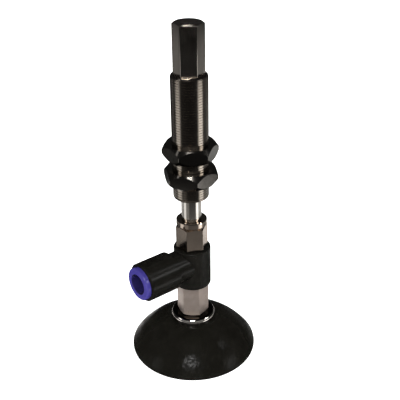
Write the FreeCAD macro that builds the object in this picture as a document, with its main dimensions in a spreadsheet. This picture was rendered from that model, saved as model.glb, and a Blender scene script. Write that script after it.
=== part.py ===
import FreeCAD, Part
import Sketcher
import os

# A flat vacuum cup on a spring buffer, with a push-in tube port at its side.
# Millimetres, +Z up along the axis, origin at the centre of the cup's rim.
# The barrel is held by its two nuts. Below it the rod, the stem, the cup and the swivelling
# port move together against the spring.

# Sizes that can each be set by themselves.
SIZES = {
    # fits
    "press_gap": 0.02,
    "running_gap": 0.05,
    "face_gap": 0.1,
    "edge_break": 0.4,
    "corner_round": 0.25,
    # suction cup
    "cup_diameter": 52.2,
    "cup_height": 14.1,
    "cup_neck_diameter": 20.6,
    "cup_neck_height": 0.4,
    "cup_rim_edge": 1.5,
    "cup_lip_width": 0.8,
    "cup_flank_radius": 36.5,
    "cup_hub_diameter": 18.0,
    "cup_hub_thickness": 3.5,
    # plate on the cup, with its seal
    "plate_diameter": 18.1,
    "plate_thickness": 3.1,
    "plate_round": 1.5,
    "plate_seal_diameter": 9.8,
    "plate_seal_section": 0.9,
    # hollow screw and washer inside the cup
    "screw_diameter": 8.0,
    "screw_grip": 6.0,
    "screw_head_height": 3.5,
    "washer_diameter": 15.0,
    "washer_thickness": 1.2,
    "air_bore": 4.0,
    # hexes of the adapter and the stem
    "hex_flats": 11.3,
    "hex_face_diameter": 10.9,
    "bevel_rise": 0.577,
    "adapter_height": 13.8,
    "socket_spare": 0.3,
    # swivel stem
    "shank_diameter": 8.0,
    "shank_grip": 5.8,
    "stem_hex_height": 10.6,
    "stem_groove_diameter": 10.4,
    "stem_groove_width": 0.6,
    "collar_diameter": 12.2,
    "collar_height": 2.2,
    "collar_edge": 0.25,
    "air_groove_depth": 0.8,
    "air_groove_width": 5.5,
    "cross_hole": 3.4,
    "o_ring_section": 1.2,
    "o_ring_offset": 5.2,
    # tee body
    "tee_diameter": 15.0,
    "tee_height": 17.2,
    "arm_height": 9.9,
    "arm_diameter": 15.6,
    "arm_neck_diameter": 12.8,
    "arm_neck_reach": 10.8,
    "arm_step": 0.8,
    "mouth_bevel": 0.5,
    "port_turn": 180.0,
    # push-in tube port
    "port_reach": 27.1,
    "tube_diameter": 8.0,
    "tube_play": 0.2,
    "tube_seat": 3.0,
    "passage_diameter": 5.5,
    "cartridge_diameter": 12.8,
    "seal_length": 2.4,
    "spacer_length": 1.2,
    "claw_thickness": 0.35,
    "claw_reach": 0.9,
    "claw_slot": 0.7,
    "sleeve_length": 3.8,
    "sleeve_lip": 2.0,
    "skirt_diameter": 9.8,
    "bead_height": 0.35,
    "ring_diameter": 13.4,
    "ring_length": 2.5,
    "ring_proud": 1.7,
    "ring_round": 0.6,
    "push_travel": 1.2,
    "push_gap": 0.5,
    # rod
    "rod_diameter": 8.0,
    "rod_thread_diameter": 6.0,
    "rod_thread_length": 6.5,
    "neck_diameter": 7.2,
    "neck_length": 0.5,
    "head_diameter": 10.0,
    "head_height": 3.0,
    "tail_diameter": 6.0,
    "tail_pilot": 2.0,
    "stroke": 9.0,
    "stop_gap": 0.7,
    # barrel and what it holds
    "barrel_diameter": 14.0,
    "barrel_length": 49.3,
    "barrel_bore": 10.4,
    "barrel_lip": 1.5,
    "barrel_mouth": 8.6,
    "barrel_round": 0.9,
    "bush_length": 10.0,
    "bumper_thickness": 1.0,
    "seat_thickness": 0.8,
    "spring_wire": 1.0,
    "spring_diameter": 9.4,
    "spring_turns": 9.0,
    # hex cap
    "cap_flats": 10.3,
    "cap_face_diameter": 9.8,
    "cap_height": 18.6,
    "cap_spigot": 8.0,
    "cap_bore": 6.6,
    # mounting nuts
    "nut_flats": 19.0,
    "nut_face_diameter": 18.4,
    "nut_bevel_rise": 1.3,
    "nut_height": 6.0,
    "nut_countersink": 14.3,
    "nut_place": 6.5,
    "nut_spacing": 10.2,
    # how each hex came to stand when it was tightened, in degrees
    "adapter_turn": 15.0,
    "stem_turn": 34.0,
    "lower_nut_turn": 5.0,
    "upper_nut_turn": 28.5,
    "cap_turn": 22.0,
    "screw_turn": 8.0,
}

# Heights above the rim, and reaches along the arm, that follow from the sizes.
PLACES = {
    "hub_face": "=dim.cup_height - dim.cup_hub_thickness",
    "washer_face": "=hub_face - dim.washer_thickness",
    "plate_top": "=dim.cup_height + dim.plate_thickness",
    "tee_foot": "=plate_top + dim.adapter_height",
    "arm_axis": "=tee_foot + dim.arm_height",
    "tee_top": "=tee_foot + dim.tee_height",
    "collar_top": "=tee_top + dim.stem_hex_height + dim.collar_height",
    "barrel_foot": "=collar_top + dim.stroke + dim.stop_gap",
    "bush_foot": "=barrel_foot + dim.barrel_lip",
    "bumper_foot": "=bush_foot + dim.bush_length",
    "head_foot": "=bumper_foot + dim.bumper_thickness",
    "seat_foot": "=head_foot + dim.head_height",
    "spring_foot": "=seat_foot + dim.seat_thickness",
    "barrel_top": "=barrel_foot + dim.barrel_length",
    "spring_top": "=barrel_top - dim.cap_spigot",
    "spring_length": "=spring_top - spring_foot",
    "lower_nut_foot": "=barrel_foot + dim.nut_place",
    "upper_nut_foot": "=lower_nut_foot + dim.nut_spacing",
    "mouth": "=dim.port_reach - dim.ring_proud",
    "sleeve_end": "=dim.port_reach - dim.ring_length - dim.push_travel - dim.push_gap",
    "sleeve_start": "=sleeve_end - dim.sleeve_length",
    "claw_start": "=sleeve_start - dim.claw_thickness",
    "spacer_start": "=claw_start - dim.spacer_length",
    "seal_start": "=spacer_start - dim.seal_length",
    "tube_stop": "=seal_start - dim.tube_seat",
}

TINY = 1e-9

doc = FreeCAD.newDocument("BufferedVacuumCup")


def sheet(name, cells):
    """A spreadsheet with one named cell for each entry."""
    table = doc.addObject("Spreadsheet::Sheet", name)
    for row, (alias, content) in enumerate(cells.items(), start=1):
        table.set(f"A{row}", alias)
        table.set(f"B{row}", str(content))
        table.setAlias(f"B{row}", alias)
    doc.recompute()
    return table


dim = sheet("dim", SIZES)
at = sheet("at", PLACES)


def value(expression):
    """The number that an expression over the two sheets comes to."""
    return float(dim.evalExpression(expression))


def origin_plane(body, role):
    """One of a body's own origin planes."""
    return next(plane for plane in body.Origin.OriginFeatures if plane.Role == role)


def new_sketch(body, plane):
    """An empty sketch on one of the body's origin planes."""
    sketch = body.newObject("Sketcher::SketchObject", "Sketch")
    sketch.AttachmentSupport = (origin_plane(body, plane), [""])
    sketch.MapMode = "FlatFace"
    return sketch


def tie(sketch, line, kind, axis, expression, point=1):
    """Ties one coordinate of a geometry's point to an expression."""
    number = value(expression)
    if abs(number) < TINY:
        sketch.addConstraint(Sketcher.Constraint("PointOnObject", line, point, axis))
        return
    ends = (-1, 1, line, point) if number > 0 else (line, point, -1, 1)
    index = sketch.addConstraint(Sketcher.Constraint(kind, *ends, abs(number)))
    sketch.setExpression(f"Constraints[{index}]", expression if number > 0 else f"-({expression})")


def arc_side(start, end, radius, way):
    """An arc from start to end that bulges to the right of its way, or to the left where way is -1."""
    chord = end - start
    middle = start + chord * 0.5
    rise = radius - (radius ** 2 - (chord.Length / 2) ** 2) ** 0.5
    right = FreeCAD.Vector(chord.y, -chord.x, 0).normalize()
    return Part.Arc(start, middle + right * (rise * way), end)


def outline(body, points, plane="XZ_Plane", bends=None):
    """A closed sketch through (across, up) corners that are given as expressions.

    Bends holds a radius and a way for each side that is an arc, under the number of its first corner.
    """
    bends = bends or {}
    sketch = new_sketch(body, plane)
    corners = [FreeCAD.Vector(value(across), value(up), 0) for across, up in points]
    count = len(corners)
    first = []
    for i in range(count):
        start, end = corners[i], corners[(i + 1) % count]
        radius, way = bends.get(i, (None, 1))
        side = arc_side(start, end, value(radius), way) if radius else Part.LineSegment(start, end)
        sketch.addGeometry(side)
        first.append(1 if way > 0 else 2)
    for i in range(count):
        after = (i + 1) % count
        sketch.addConstraint(Sketcher.Constraint("Coincident", i, 3 - first[i], after, first[after]))
    for i, (radius, way) in bends.items():
        index = sketch.addConstraint(Sketcher.Constraint("Radius", i, value(radius)))
        sketch.setExpression(f"Constraints[{index}]", radius)
    for i, (across, up) in enumerate(points):
        tie(sketch, i, "DistanceX", -2, across, first[i])
        tie(sketch, i, "DistanceY", -1, up, first[i])
    return sketch


def round_hole(body, across, up, diameter, plane):
    """A sketch with one circle."""
    sketch = new_sketch(body, plane)
    centre = FreeCAD.Vector(value(across), value(up), 0)
    sketch.addGeometry(Part.Circle(centre, FreeCAD.Vector(0, 0, 1), value(diameter) / 2))
    tie(sketch, 0, "DistanceX", -2, across, point=3)
    tie(sketch, 0, "DistanceY", -1, up, point=3)
    index = sketch.addConstraint(Sketcher.Constraint("Diameter", 0, value(diameter)))
    sketch.setExpression(f"Constraints[{index}]", diameter)
    return sketch


def new_body(label):
    """An empty body that is one sub-part."""
    body = doc.addObject("PartDesign::Body", label)
    body.Label = label
    return body


def turn(body, points, axis="V_Axis", cut=False, bends=None):
    """Turns an outline about a sketch axis, to add material or to cut it."""
    feature = body.newObject("PartDesign::Groove" if cut else "PartDesign::Revolution", "Turned")
    sketch = outline(body, points, bends=bends)
    feature.Profile = sketch
    feature.ReferenceAxis = (sketch, [axis])
    feature.Angle = 360
    body.Tip = feature
    doc.recompute()
    return feature


def pad_hex(body, flats, height):
    """A hexagonal prism with slightly rounded corners, standing on the body's XY plane."""
    corner = f"{flats} / sqrt(3)"
    half = f"{flats} / sqrt(3) / 2"
    side = f"{flats} / 2"
    points = [
        (corner, "0"),
        (half, side),
        (f"-{half}", side),
        (f"-{corner}", "0"),
        (f"-{half}", f"-{side}"),
        (half, f"-{side}"),
    ]
    sketch = outline(body, points, "XY_Plane")
    pad = body.newObject("PartDesign::Pad", "Hex")
    pad.Profile = sketch
    pad.setExpression("Length", height)
    doc.recompute()
    uprights = []
    for number, edge in enumerate(pad.Shape.Edges, start=1):
        if abs(edge.Vertexes[0].Z - edge.Vertexes[1].Z) > TINY:
            uprights.append(f"Edge{number}")
    rounded(body, uprights, "dim.corner_round")


def bevel(body, flats, face, level, rise):
    """Turns the corners of a hex down to a round face at a level. A negative rise bevels the foot."""
    beyond = f"{flats} * 0.7"
    drop = f"({beyond} - {face} / 2) * {rise}"
    turn(body, [(f"{face} / 2", level), (beyond, level), (beyond, f"{level} - {drop}")], cut=True)


def circles(feature, radius, level, axis=2):
    """Names of a feature's full circles of one radius at one level along an axis."""
    names = []
    for number, edge in enumerate(feature.Shape.Edges, start=1):
        curve = edge.Curve
        if not isinstance(curve, Part.Circle):
            continue
        same = abs(curve.Radius - value(radius)) < 1e-4 and abs(curve.Center[axis] - value(level)) < 1e-4
        if same:
            names.append(f"Edge{number}")
    return names


def dress(body, kind, edges, amount, prop):
    """A fillet or chamfer on named edges of the body's tip."""
    base = body.Tip
    feature = body.newObject(kind, "Edges")
    feature.Base = (base, edges)
    feature.setExpression(prop, amount)
    doc.recompute()
    return feature


def rounded(body, edges, radius):
    """Rounds named edges of the body's tip."""
    return dress(body, "PartDesign::Fillet", edges, radius, "Radius")


def chamfered(body, edges, size):
    """Chamfers named edges of the body's tip."""
    return dress(body, "PartDesign::Chamfer", edges, size, "Size")


def place(part, height, angle=None):
    """Puts a sub-part at a height on the axis, turned about it where an angle is given."""
    part.Placement = FreeCAD.Placement(FreeCAD.Vector(), FreeCAD.Rotation(FreeCAD.Vector(0, 0, 1), 1))
    part.setExpression("Placement.Base.z", height)
    part.setExpression("Placement.Rotation.Angle", angle if angle else "0")
    return part


def tube(outer, inner, foot, top):
    """Corners of a plain ring between two levels, from its inner to its outer radius."""
    return [(inner, foot), (outer, foot), (outer, top), (inner, top)]


def suction_cup():
    """The rubber cup: a thin lip, a domed flank and a thick hub with the screw hole."""
    body = new_body("suction_cup")
    rim = "dim.cup_diameter / 2"
    neck = "dim.cup_neck_diameter / 2"
    hole = "dim.screw_diameter / 2 + dim.running_gap"
    flank = "dim.cup_height - dim.cup_neck_height"
    turn(body, [
        (f"{rim} - dim.cup_lip_width", "0"),
        (rim, "0"),
        (rim, "dim.cup_rim_edge"),
        (neck, flank),
        (neck, "dim.cup_height"),
        (hole, "dim.cup_height"),
        (hole, "at.hub_face"),
        ("dim.cup_hub_diameter / 2", "at.hub_face"),
    ], bends={2: ("dim.cup_flank_radius", 1), 7: ("dim.cup_flank_radius", -1)})
    rounded(body, circles(body.Tip, rim, "dim.cup_rim_edge"), "dim.edge_break")
    rounded(body, circles(body.Tip, neck, "dim.cup_height"), "dim.cup_neck_height / 2")
    return place(body, "0")


def clamp_washer():
    """The washer that spreads the screw's head under the hub."""
    body = new_body("clamp_washer")
    hole = "dim.screw_diameter / 2 + dim.running_gap"
    turn(body, tube("dim.washer_diameter / 2", hole, "0", "dim.washer_thickness"))
    chamfered(body, circles(body.Tip, "dim.washer_diameter / 2", "0"), "dim.edge_break / 2")
    return place(body, "at.washer_face")


def cup_screw():
    """The hollow hex screw that clamps the cup and lets the air through."""
    body = new_body("cup_screw")
    head = "dim.screw_head_height"
    reach = "at.plate_top + dim.screw_grip - at.washer_face"
    shank = "dim.screw_diameter / 2"
    pad_hex(body, "dim.hex_flats", head)
    bevel(body, "dim.hex_flats", "dim.hex_face_diameter", "0", "-dim.bevel_rise")
    turn(body, [("0", head), (shank, head), (shank, f"{head} + {reach}"), ("0", f"{head} + {reach}")])
    chamfered(body, circles(body.Tip, shank, f"{head} + {reach}"), "dim.edge_break")
    turn(body, [
        ("0", "-dim.face_gap"),
        ("dim.air_bore / 2", "-dim.face_gap"),
        ("dim.air_bore / 2", f"{head} + {reach} + dim.face_gap"),
        ("0", f"{head} + {reach} + dim.face_gap"),
    ], cut=True)
    return place(body, "at.washer_face - dim.screw_head_height", "dim.screw_turn")


def cup_plate():
    """The polished round plate, with a groove for its seal in the top face."""
    body = new_body("cup_plate")
    edge = "dim.plate_diameter / 2"
    top = "dim.plate_thickness"
    middle = "dim.plate_seal_diameter / 2"
    half = "(dim.plate_seal_section / 2 + dim.running_gap)"
    depth = "(dim.plate_seal_section + dim.press_gap)"
    turn(body, tube(edge, "dim.screw_diameter / 2 + dim.running_gap", "0", top))
    rounded(body, circles(body.Tip, edge, top), "dim.plate_round")
    turn(body, [
        (f"{middle} - {half}", f"{top} - {depth}"),
        (f"{middle} + {half}", f"{top} - {depth}"),
        (f"{middle} + {half}", f"{top} + dim.face_gap"),
        (f"{middle} - {half}", f"{top} + dim.face_gap"),
    ], cut=True)
    return place(body, "dim.cup_height")


def o_ring(label, middle_radius, section, height):
    """A round-section seal ring about the axis."""
    ring = doc.addObject("Part::Torus", label)
    ring.Label = label
    ring.setExpression("Radius1", middle_radius)
    ring.setExpression("Radius2", f"{section} / 2")
    return place(ring, height)


def plate_seal():
    """The seal ring in the plate's groove."""
    height = "at.plate_top - dim.plate_seal_section / 2 - dim.press_gap / 2"
    return o_ring("plate_seal", "dim.plate_seal_diameter / 2", "dim.plate_seal_section", height)


def hex_adapter():
    """The lower hex, with a threaded socket at each end and an air hole between them."""
    body = new_body("hex_adapter")
    flats = "dim.hex_flats"
    tall = "dim.adapter_height"
    lower = "dim.screw_grip + dim.socket_spare"
    upper = f"{tall} - dim.shank_grip - dim.socket_spare"
    screw = "dim.screw_diameter / 2 + dim.press_gap"
    shank = "dim.shank_diameter / 2 + dim.press_gap"
    pad_hex(body, flats, tall)
    bevel(body, flats, "dim.hex_face_diameter", "0", "-dim.bevel_rise")
    bevel(body, flats, "dim.hex_face_diameter", tall, "dim.bevel_rise")
    turn(body, [
        ("0", "-dim.face_gap"),
        (screw, "-dim.face_gap"),
        (screw, lower),
        ("dim.air_bore / 2", lower),
        ("dim.air_bore / 2", upper),
        (shank, upper),
        (shank, f"{tall} + dim.face_gap"),
        ("0", f"{tall} + dim.face_gap"),
    ], cut=True)
    return place(body, "at.plate_top", "dim.adapter_turn")


def swivel_stem():
    """The hollow bolt that the tee swivels on: hex, relief groove, collar, sealed shank and cross holes."""
    body = new_body("swivel_stem")
    shank = "dim.shank_diameter / 2"
    axis = "(dim.arm_height - dim.tee_height)"
    foot = "(-dim.tee_height - dim.shank_grip)"
    top = "(dim.stem_hex_height + dim.collar_height)"
    floor = "(dim.shank_diameter / 2 + dim.running_gap - dim.o_ring_section - dim.press_gap)"
    half = "(dim.o_ring_section / 2 + dim.running_gap)"
    groove = "(dim.shank_diameter / 2 - dim.air_groove_depth)"
    wide = "dim.air_groove_width / 2"
    pad_hex(body, "dim.hex_flats", "dim.stem_hex_height")
    relief = "(dim.stem_hex_height - dim.stem_groove_width)"
    bevel(body, "dim.hex_flats", "dim.hex_face_diameter", relief, "dim.bevel_rise")
    turn(body, [
        ("dim.stem_groove_diameter / 2", relief),
        ("dim.hex_flats * 0.7", relief),
        ("dim.hex_flats * 0.7", "dim.stem_hex_height + dim.face_gap"),
        ("dim.stem_groove_diameter / 2", "dim.stem_hex_height + dim.face_gap"),
    ], cut=True)
    bevel(body, "dim.hex_flats", "dim.hex_face_diameter", "0", "-dim.bevel_rise")
    turn(body, [
        ("0", "dim.stem_hex_height"),
        ("dim.collar_diameter / 2", "dim.stem_hex_height"),
        ("dim.collar_diameter / 2", top),
        ("0", top),
    ])
    chamfered(body, circles(body.Tip, "dim.collar_diameter / 2", top), "dim.collar_edge")
    lower = f"{axis} - dim.o_ring_offset"
    upper = f"{axis} + dim.o_ring_offset"
    turn(body, [
        ("0", foot),
        (f"{shank} - dim.edge_break", foot),
        (shank, f"{foot} + dim.edge_break"),
        (shank, f"{lower} - {half}"),
        (floor, f"{lower} - {half}"),
        (floor, f"{lower} + {half}"),
        (shank, f"{lower} + {half}"),
        (shank, f"{axis} - {wide}"),
        (groove, f"{axis} - {wide}"),
        (groove, f"{axis} + {wide}"),
        (shank, f"{axis} + {wide}"),
        (shank, f"{upper} - {half}"),
        (floor, f"{upper} - {half}"),
        (floor, f"{upper} + {half}"),
        (shank, f"{upper} + {half}"),
        (shank, "0"),
        ("0", "0"),
    ])
    thread = "dim.rod_thread_diameter / 2 + dim.press_gap"
    socket = f"{top} - dim.rod_thread_length - dim.socket_spare"
    turn(body, [
        ("0", socket),
        (thread, socket),
        (thread, f"{top} + dim.face_gap"),
        ("0", f"{top} + dim.face_gap"),
    ], cut=True)
    end = f"{axis} + dim.cross_hole / 2"
    turn(body, [
        ("0", f"{foot} - dim.face_gap"),
        ("dim.air_bore / 2", f"{foot} - dim.face_gap"),
        ("dim.air_bore / 2", end),
        ("0", end),
    ], cut=True)
    for plane in ("XZ_Plane", "YZ_Plane"):
        hole = body.newObject("PartDesign::Pocket", "CrossHole")
        hole.Profile = round_hole(body, "0", axis, "dim.cross_hole", plane)
        hole.Type = "ThroughAll"
        hole.Midplane = True
        body.Tip = hole
        doc.recompute()
    return place(body, "at.tee_top", "dim.stem_turn")


def stem_seals():
    """The two seal rings on the stem, one each side of the cross holes."""
    floor = "dim.shank_diameter / 2 + dim.running_gap - dim.o_ring_section - dim.press_gap"
    middle = f"{floor} + dim.o_ring_section / 2 + dim.press_gap / 2"
    lower = o_ring("lower_o_ring", middle, "dim.o_ring_section", "at.arm_axis - dim.o_ring_offset")
    upper = o_ring("upper_o_ring", middle, "dim.o_ring_section", "at.arm_axis + dim.o_ring_offset")
    return [lower, upper]


def port_body():
    """The moulded tee: an upright tube with a stepped side arm, bored for stem and cartridge."""
    body = new_body("port_body")
    foot = "(dim.face_gap - dim.arm_height)"
    top = "(dim.tee_height - dim.arm_height - dim.face_gap)"
    outer = "dim.tee_diameter / 2"
    arm = "dim.arm_diameter / 2"
    neck = "dim.arm_neck_diameter / 2"
    bore = "dim.shank_diameter / 2 + dim.running_gap"
    room = "dim.cartridge_diameter / 2"
    mouth_room = "dim.ring_diameter / 2 + dim.running_gap"
    guide = "(dim.tube_diameter + dim.tube_play) / 2"
    beyond = "at.mouth + dim.face_gap"
    turn(body, [("0", foot), (outer, foot), (outer, top), ("0", top)])
    rounded(body, circles(body.Tip, outer, foot) + circles(body.Tip, outer, top), "dim.edge_break")
    turn(body, [
        ("0", "0"),
        ("at.mouth", "0"),
        ("at.mouth", f"{arm} - dim.mouth_bevel"),
        ("at.mouth - dim.mouth_bevel", arm),
        ("dim.arm_neck_reach + dim.arm_step", arm),
        ("dim.arm_neck_reach", neck),
        ("0", neck),
    ], axis="H_Axis")
    turn(body, [
        ("0", f"{foot} - dim.face_gap"),
        (bore, f"{foot} - dim.face_gap"),
        (bore, f"{top} + dim.face_gap"),
        ("0", f"{top} + dim.face_gap"),
    ], cut=True)
    turn(body, [
        ("0", "0"),
        (beyond, "0"),
        (beyond, mouth_room),
        ("at.sleeve_end", mouth_room),
        ("at.sleeve_end", room),
        ("at.seal_start", room),
        ("at.seal_start", guide),
        ("at.tube_stop", guide),
        ("at.tube_stop", "dim.passage_diameter / 2"),
        ("0", "dim.passage_diameter / 2"),
    ], axis="H_Axis", cut=True)
    return place(body, "at.arm_axis", "dim.port_turn")


def in_port(body):
    """Puts a piece of the cartridge on the arm's axis."""
    return place(body, "at.arm_axis", "dim.port_turn")


def tube_seal():
    """The lipped rubber seal round the tube."""
    body = new_body("tube_seal")
    outer = "dim.cartridge_diameter / 2 - dim.press_gap"
    inner = "(dim.tube_diameter + dim.tube_play) / 2"
    waist = f"{inner} + dim.edge_break"
    turn(body, [
        ("at.seal_start", outer),
        ("at.seal_start", waist),
        ("at.seal_start + dim.seal_length / 2", inner),
        ("at.spacer_start", waist),
        ("at.spacer_start", outer),
    ], axis="H_Axis")
    return in_port(body)


def seal_spacer():
    """The ring between the seal and the claw."""
    body = new_body("seal_spacer")
    outer = "dim.cartridge_diameter / 2 - dim.press_gap"
    inner = "dim.skirt_diameter / 2 + dim.bead_height + dim.edge_break"
    turn(body, [
        ("at.spacer_start", outer),
        ("at.spacer_start", inner),
        ("at.claw_start", inner),
        ("at.claw_start", outer),
    ], axis="H_Axis")
    return in_port(body)


def gripping_claw():
    """The thin spring ring whose slanted teeth grip the tube."""
    body = new_body("gripping_claw")
    outer = "dim.cartridge_diameter / 2 - dim.press_gap"
    root = "dim.skirt_diameter / 2 + dim.edge_break"
    tip = "(dim.tube_diameter + dim.tube_play) / 2"
    turn(body, [
        ("at.claw_start", outer),
        ("at.claw_start", root),
        ("at.claw_start - dim.claw_reach", tip),
        ("at.claw_start - dim.claw_reach + dim.claw_thickness", tip),
        ("at.sleeve_start", root),
        ("at.sleeve_start", outer),
    ], axis="H_Axis")
    half = "dim.claw_slot / 2"
    sketch = outline(body, [
        (half, "0"),
        (half, root),
        (f"-{half}", root),
        (f"-{half}", "0"),
    ], "YZ_Plane")
    slot = body.newObject("PartDesign::Pocket", "Slot")
    slot.Profile = sketch
    slot.Type = "ThroughAll"
    slot.Midplane = True
    body.Tip = slot
    doc.recompute()
    teeth = body.newObject("PartDesign::PolarPattern", "Teeth")
    teeth.Originals = [slot]
    teeth.Axis = (next(line for line in body.Origin.OriginFeatures if line.Role == "X_Axis"), [""])
    teeth.Angle = 360
    teeth.Occurrences = 8
    body.Tip = teeth
    doc.recompute()
    return in_port(body)


def collet_sleeve():
    """The sleeve that holds the claw in and keeps the release ring from coming out."""
    body = new_body("collet_sleeve")
    outer = "dim.cartridge_diameter / 2 - dim.press_gap"
    lip = "dim.skirt_diameter / 2 + dim.running_gap"
    relief = "dim.skirt_diameter / 2 + dim.bead_height + dim.running_gap"
    turn(body, [
        ("at.sleeve_start", outer),
        ("at.sleeve_start", relief),
        ("at.sleeve_end - dim.sleeve_lip", relief),
        ("at.sleeve_end - dim.sleeve_lip", lip),
        ("at.sleeve_end", lip),
        ("at.sleeve_end", outer),
    ], axis="H_Axis")
    return in_port(body)


def release_ring():
    """The ring that is pushed in to let the tube go: collar, skirt and a bead behind the sleeve's lip."""
    body = new_body("release_ring")
    bore = "(dim.tube_diameter + dim.tube_play) / 2"
    skirt = "dim.skirt_diameter / 2"
    collar = "dim.ring_diameter / 2"
    shoulder = "dim.port_reach - dim.ring_length"
    bead_end = "at.sleeve_end - dim.sleeve_lip - dim.face_gap"
    bead_start = f"{bead_end} - dim.bead_height"
    turn(body, [
        (bead_start, bore),
        (bead_start, skirt),
        (bead_end, f"{skirt} + dim.bead_height"),
        (bead_end, skirt),
        (shoulder, skirt),
        (shoulder, collar),
        ("dim.port_reach", collar),
        ("dim.port_reach", f"{bore} + dim.edge_break / 2"),
        ("dim.port_reach - dim.edge_break / 2", bore),
    ], axis="H_Axis")
    rounded(body, circles(body.Tip, collar, "dim.port_reach", axis=0), "dim.ring_round")
    return in_port(body)


def plunger_rod():
    """The rod: threaded end, neck, guided length, head and the tail that pilots in the cap."""
    body = new_body("plunger_rod")
    thread = "dim.rod_thread_diameter / 2"
    neck = "dim.neck_diameter / 2"
    rod = "dim.rod_diameter / 2"
    head = "dim.head_diameter / 2"
    tail = "dim.tail_diameter / 2"
    head_foot = "at.head_foot - at.collar_top"
    head_top = "at.seat_foot - at.collar_top"
    end = "at.spring_top + dim.tail_pilot - at.collar_top"
    turn(body, [
        ("0", "-dim.rod_thread_length"),
        (f"{thread} - dim.edge_break", "-dim.rod_thread_length"),
        (thread, "-dim.rod_thread_length + dim.edge_break"),
        (thread, "0"),
        (neck, "0"),
        (neck, "dim.neck_length"),
        (f"{rod} - dim.edge_break / 2", "dim.neck_length"),
        (rod, "dim.neck_length + dim.edge_break / 2"),
        (rod, head_foot),
        (head, head_foot),
        (head, head_top),
        (tail, head_top),
        (tail, f"{end} - dim.edge_break"),
        (f"{tail} - dim.edge_break", end),
        ("0", end),
    ])
    return place(body, "at.collar_top")


def buffer_barrel():
    """The threaded barrel, drawn at the thread's outer diameter, with a lip that holds the bush."""
    body = new_body("buffer_barrel")
    outer = "dim.barrel_diameter / 2"
    turn(body, [
        ("dim.barrel_mouth / 2", "0"),
        (outer, "0"),
        (outer, "dim.barrel_length"),
        ("dim.barrel_bore / 2", "dim.barrel_length"),
        ("dim.barrel_bore / 2", "dim.barrel_lip"),
        ("dim.barrel_mouth / 2", "dim.barrel_lip"),
    ])
    ends = circles(body.Tip, outer, "0") + circles(body.Tip, outer, "dim.barrel_length")
    rounded(body, ends, "dim.barrel_round")
    return place(body, "at.barrel_foot")


def guide_bush():
    """The plain bearing that guides the rod."""
    body = new_body("guide_bush")
    outer = "dim.barrel_bore / 2 - dim.press_gap"
    inner = "dim.rod_diameter / 2 + dim.running_gap"
    turn(body, tube(outer, inner, "0", "dim.bush_length"))
    ends = circles(body.Tip, outer, "0") + circles(body.Tip, outer, "dim.bush_length")
    chamfered(body, ends, "dim.edge_break")
    return place(body, "at.bush_foot")


def washer_on_rod(label, around, thickness, height):
    """A washer in the barrel's bore, round a length of the rod."""
    body = new_body(label)
    inner = f"{around} / 2 + dim.running_gap"
    turn(body, tube("dim.head_diameter / 2", inner, "0", thickness))
    return place(body, height)


def compression_spring():
    """The buffer's spring with ground ends, at its fitted length."""
    body = new_body("compression_spring")
    middle = "(dim.spring_diameter - dim.spring_wire) / 2"
    coil = body.newObject("PartDesign::AdditiveHelix", "Coil")
    sketch = round_hole(body, middle, "0", "dim.spring_wire", "XZ_Plane")
    coil.Profile = sketch
    coil.ReferenceAxis = (sketch, ["V_Axis"])
    coil.Mode = "height-turns-angle"
    coil.setExpression("Height", "at.spring_length")
    coil.setExpression("Turns", "dim.spring_turns")
    body.Tip = coil
    doc.recompute()
    clear = "dim.spring_diameter / 2 + dim.spring_wire"
    top = "at.spring_length"
    for level, beyond in (("0", "-dim.spring_wire"), (top, f"{top} + dim.spring_wire")):
        turn(body, [("0", level), (clear, level), (clear, beyond), ("0", beyond)], cut=True)
    return place(body, "at.spring_foot")


def hex_cap():
    """The hex end cap: a threaded spigot in the barrel and a blind bore for the rod's tail."""
    body = new_body("hex_cap")
    spigot = "dim.barrel_bore / 2 - dim.press_gap"
    foot = "-dim.cap_spigot"
    bore = "dim.cap_bore / 2"
    end = f"{foot} + dim.tail_pilot + dim.stroke + dim.tail_pilot"
    pad_hex(body, "dim.cap_flats", "dim.cap_height")
    bevel(body, "dim.cap_flats", "dim.cap_face_diameter", "dim.cap_height", "dim.bevel_rise")
    turn(body, [
        ("0", foot),
        (f"{spigot} - dim.edge_break", foot),
        (spigot, f"{foot} + dim.edge_break"),
        (spigot, "0"),
        ("0", "0"),
    ])
    turn(body, [
        ("0", f"{foot} - dim.face_gap"),
        (bore, f"{foot} - dim.face_gap"),
        (bore, end),
        ("0", f"{end} + {bore} * dim.bevel_rise"),
    ], cut=True)
    return place(body, "at.barrel_top", "dim.cap_turn")


def mounting_nut(label, height, angle):
    """A thin hex nut, bevelled on both faces and countersunk at both ends of its hole."""
    body = new_body(label)
    tall = "dim.nut_height"
    hole = "(dim.barrel_diameter / 2 + dim.press_gap)"
    sink = "dim.nut_countersink / 2"
    pad_hex(body, "dim.nut_flats", tall)
    bevel(body, "dim.nut_flats", "dim.nut_face_diameter", "0", "-dim.nut_bevel_rise")
    bevel(body, "dim.nut_flats", "dim.nut_face_diameter", tall, "dim.nut_bevel_rise")
    turn(body, [
        ("0", "0"),
        (sink, "0"),
        (hole, f"{sink} - {hole}"),
        (hole, f"{tall} - {sink} + {hole}"),
        (sink, tall),
        ("0", tall),
    ], cut=True)
    return place(body, height, angle)


sub_parts = [
    suction_cup(),
    clamp_washer(),
    cup_screw(),
    cup_plate(),
    plate_seal(),
    hex_adapter(),
    swivel_stem(),
    *stem_seals(),
    port_body(),
    tube_seal(),
    seal_spacer(),
    gripping_claw(),
    collet_sleeve(),
    release_ring(),
    plunger_rod(),
    washer_on_rod("spring_seat", "dim.tail_diameter", "dim.seat_thickness", "at.seat_foot"),
    washer_on_rod("stop_washer", "dim.rod_diameter", "dim.bumper_thickness", "at.bumper_foot"),
    compression_spring(),
    guide_bush(),
    buffer_barrel(),
    mounting_nut("lower_nut", "at.lower_nut_foot", "dim.lower_nut_turn"),
    mounting_nut("upper_nut", "at.upper_nut_foot", "dim.upper_nut_turn"),
    hex_cap(),
]

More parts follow.
